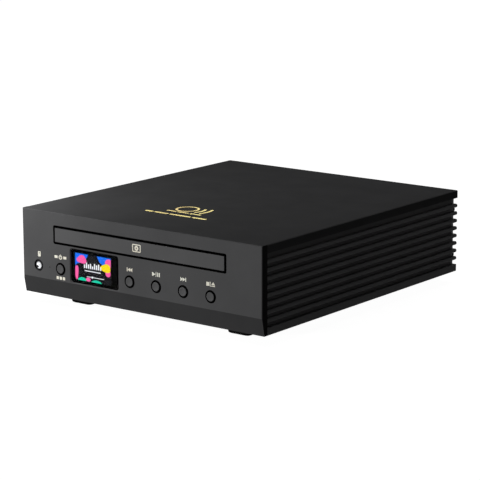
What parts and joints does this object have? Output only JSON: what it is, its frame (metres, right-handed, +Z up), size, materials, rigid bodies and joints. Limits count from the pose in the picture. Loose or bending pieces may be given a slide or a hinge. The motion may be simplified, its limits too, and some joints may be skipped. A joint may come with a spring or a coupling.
{
  "type": "cd transport",
  "caption": "Compact disc transport with a motor-driven tray, finned metal sides, a small display window and round push buttons, standing on square rubber pads.",
  "frame": {"origin": "middle of the floor area that the whole object covers, at the underside of its feet", "axes": "+X to the right seen from the front, +Y from the front face towards the rear panel, +Z up"},
  "size_m": [0.188, 0.222, 0.061],
  "materials": {
    "black_anodised": "satin black anodised",
    "black_steel": "satin black powder coat",
    "steel": "plain",
    "black_screw": "black oxide",
    "rubber": "matt",
    "dark_glass": "polished",
    "display": "gloss",
    "dark_window": "gloss",
    "light_pipe": "gloss",
    "circuit_board": "satin",
    "component": "satin",
    "tray_plastic": "fine grain",
    "frame_plastic": "matt",
    "gear_plastic": "satin",
    "dark_gear_plastic": "satin",
    "sled_metal": "cast",
    "socket_metal": "bright",
    "socket_plastic": "matt",
    "gold_contact": "bright",
    "ribbon": "satin"
  },
  "bodies": {
    "housing": {"board_parts": "component", "bottom_plate": "black_steel", "clamp_bridge": "steel", "coaxial_socket": "gold_contact", "corner_brackets": "steel", "display_glass": "dark_glass", "display_module": "display", "foot_front_left": "rubber", "foot_front_right": "rubber", "foot_rear_left": "rubber", "foot_rear_right": "rubber", "front_board": "circuit_board", "front_panel": "black_anodised", "front_ribbon": "ribbon", "i2s_socket": "socket_metal", "ir_receiver": "component", "ir_window": "dark_window", "left_side_panel": "black_anodised", "loader_dampers": "rubber", "loader_frame": "frame_plastic", "loader_screws": "steel", "loading_belt": "rubber", "loading_motor": "steel", "main_board": "circuit_board", "optical_socket": "socket_plastic", "panel_screws": "black_screw", "power_socket": "socket_plastic", "rear_panel": "black_anodised", "right_side_panel": "black_anodised", "standoffs": "steel", "status_light": "light_pipe", "tact_switches": "component", "top_cover": "black_anodised", "usb_a_socket": "socket_metal", "usb_c_socket": "socket_metal"},
    "tray": {"disc_tray": "tray_plastic", "tray_door": "black_anodised"},
    "tray_gear": {"tray_gear": "gear_plastic"},
    "pulley_gear": {"pulley_gear": "gear_plastic"},
    "motor_pulley": {"motor_pulley": "dark_gear_plastic"},
    "traverse": {"traverse_plate": "steel", "spindle_motor": "steel", "guide_rods": "steel", "sled_motor": "steel"},
    "cam": {"cam_slider": "gear_plastic"},
    "turntable": {"turntable": "tray_plastic"},
    "sled": {"pickup_sled": "sled_metal"},
    "lens": {"pickup_lens": "dark_gear_plastic"},
    "sled_gear": {"sled_gear": "gear_plastic"},
    "sled_pinion": {"sled_pinion": "gear_plastic"},
    "clamp": {"clamp_puck": "dark_gear_plastic", "clamp_cap": "dark_gear_plastic"},
    "shutter": {"optical_shutter": "socket_plastic"},
    "power_button": {"power_button": "black_anodised"},
    "previous_button": {"previous_button": "black_anodised"},
    "play_button": {"play_button": "black_anodised"},
    "next_button": {"next_button": "black_anodised"},
    "eject_button": {"eject_button": "black_anodised"}
  },
  "joints": [
    {"name": "tray_slide", "type": "slide", "parent": "housing", "child": "tray", "axis": [0, -1, 0], "range_m": [0, 0.134]},
    {"name": "tray_gear_turn", "type": "hinge", "parent": "housing", "child": "tray_gear", "pos_m": [0.0499, -0.09, 0.0375], "axis": [0, 0, -1], "range_deg": [-0.5, 1024.18]},
    {"name": "pulley_turn", "type": "hinge", "parent": "housing", "child": "pulley_gear", "pos_m": [0.03234, -0.08562, 0.0342], "axis": [0, 0, 1], "range_deg": [-0.5, 2389.1]},
    {"name": "loading_motor_turn", "type": "hinge", "parent": "housing", "child": "motor_pulley", "pos_m": [-0.00566, -0.08262, 0.0342], "axis": [0, 0, 1], "range_deg": [-0.5, 9989.18]},
    {"name": "traverse_lift", "type": "hinge", "parent": "housing", "child": "traverse", "pos_m": [0, 0.042, 0.037], "axis": [-1, 0, 0], "range_deg": [0, 5]},
    {"name": "cam_slide", "type": "slide", "parent": "housing", "child": "cam", "axis": [1, 0, 0], "range_m": [-0.0001, 0.0201]},
    {"name": "spindle_turn", "type": "hinge", "parent": "traverse", "child": "turntable", "pos_m": [0, -0.0408, 0.0426], "axis": [0, -0.0872, 0.9962], "continuous": true},
    {"name": "pickup_slide", "type": "slide", "parent": "traverse", "child": "sled", "axis": [0, 0.9962, 0.0872], "range_m": [0, 0.034]},
    {"name": "lens_focus", "type": "slide", "parent": "sled", "child": "lens", "axis": [0, -0.0872, 0.9962], "range_m": [-0.0004, 0.0004], "stiffness_N_per_m": 300},
    {"name": "sled_gear_turn", "type": "hinge", "parent": "traverse", "child": "sled_gear", "pos_m": [0.0321, -0.00123, 0.02624], "axis": [0, 0.0872, -0.9962], "range_deg": [-0.5, 433.4]},
    {"name": "sled_motor_turn", "type": "hinge", "parent": "traverse", "child": "sled_pinion", "pos_m": [0.0361, -0.01339, 0.02518], "axis": [0, -0.0872, 0.9962], "range_deg": [-0.5, 1039.46]},
    {"name": "clamp_turn", "type": "hinge", "parent": "housing", "child": "clamp", "pos_m": [0, -0.04, 0.0506], "axis": [0, 0, 1], "continuous": true},
    {"name": "power_press", "type": "slide", "parent": "housing", "child": "power_button", "axis": [0, 1, 0], "range_m": [0, 0.0005], "stiffness_N_per_m": 1500, "springref_m": -0.0004},
    {"name": "previous_press", "type": "slide", "parent": "housing", "child": "previous_button", "axis": [0, 1, 0], "range_m": [0, 0.0005], "stiffness_N_per_m": 1500, "springref_m": -0.0004},
    {"name": "play_press", "type": "slide", "parent": "housing", "child": "play_button", "axis": [0, 1, 0], "range_m": [0, 0.0005], "stiffness_N_per_m": 1500, "springref_m": -0.0004},
    {"name": "next_press", "type": "slide", "parent": "housing", "child": "next_button", "axis": [0, 1, 0], "range_m": [0, 0.0005], "stiffness_N_per_m": 1500, "springref_m": -0.0004},
    {"name": "eject_press", "type": "slide", "parent": "housing", "child": "eject_button", "axis": [0, 1, 0], "range_m": [0, 0.0005], "stiffness_N_per_m": 1500, "springref_m": -0.0004},
    {"name": "shutter_swing", "type": "hinge", "parent": "housing", "child": "shutter", "pos_m": [0.032, 0.1027, 0.0248], "axis": [-1, 0, 0], "range_deg": [0, 82], "stiffness_Nm_per_rad": 0.0002, "springref_deg": -11.46}
  ],
  "couplings": [
    {"joint": "tray_gear_turn", "follows": "tray_slide", "rad_per_m": 133.33},
    {"joint": "pulley_turn", "follows": "tray_slide", "rad_per_m": 311.11},
    {"joint": "loading_motor_turn", "follows": "tray_slide", "rad_per_m": 1301},
    {"joint": "cam_slide", "follows": "traverse_lift", "m_per_rad": 0.22918},
    {"joint": "sled_gear_turn", "follows": "pickup_slide", "rad_per_m": 222.22},
    {"joint": "sled_motor_turn", "follows": "pickup_slide", "rad_per_m": 533.33}
  ]
}
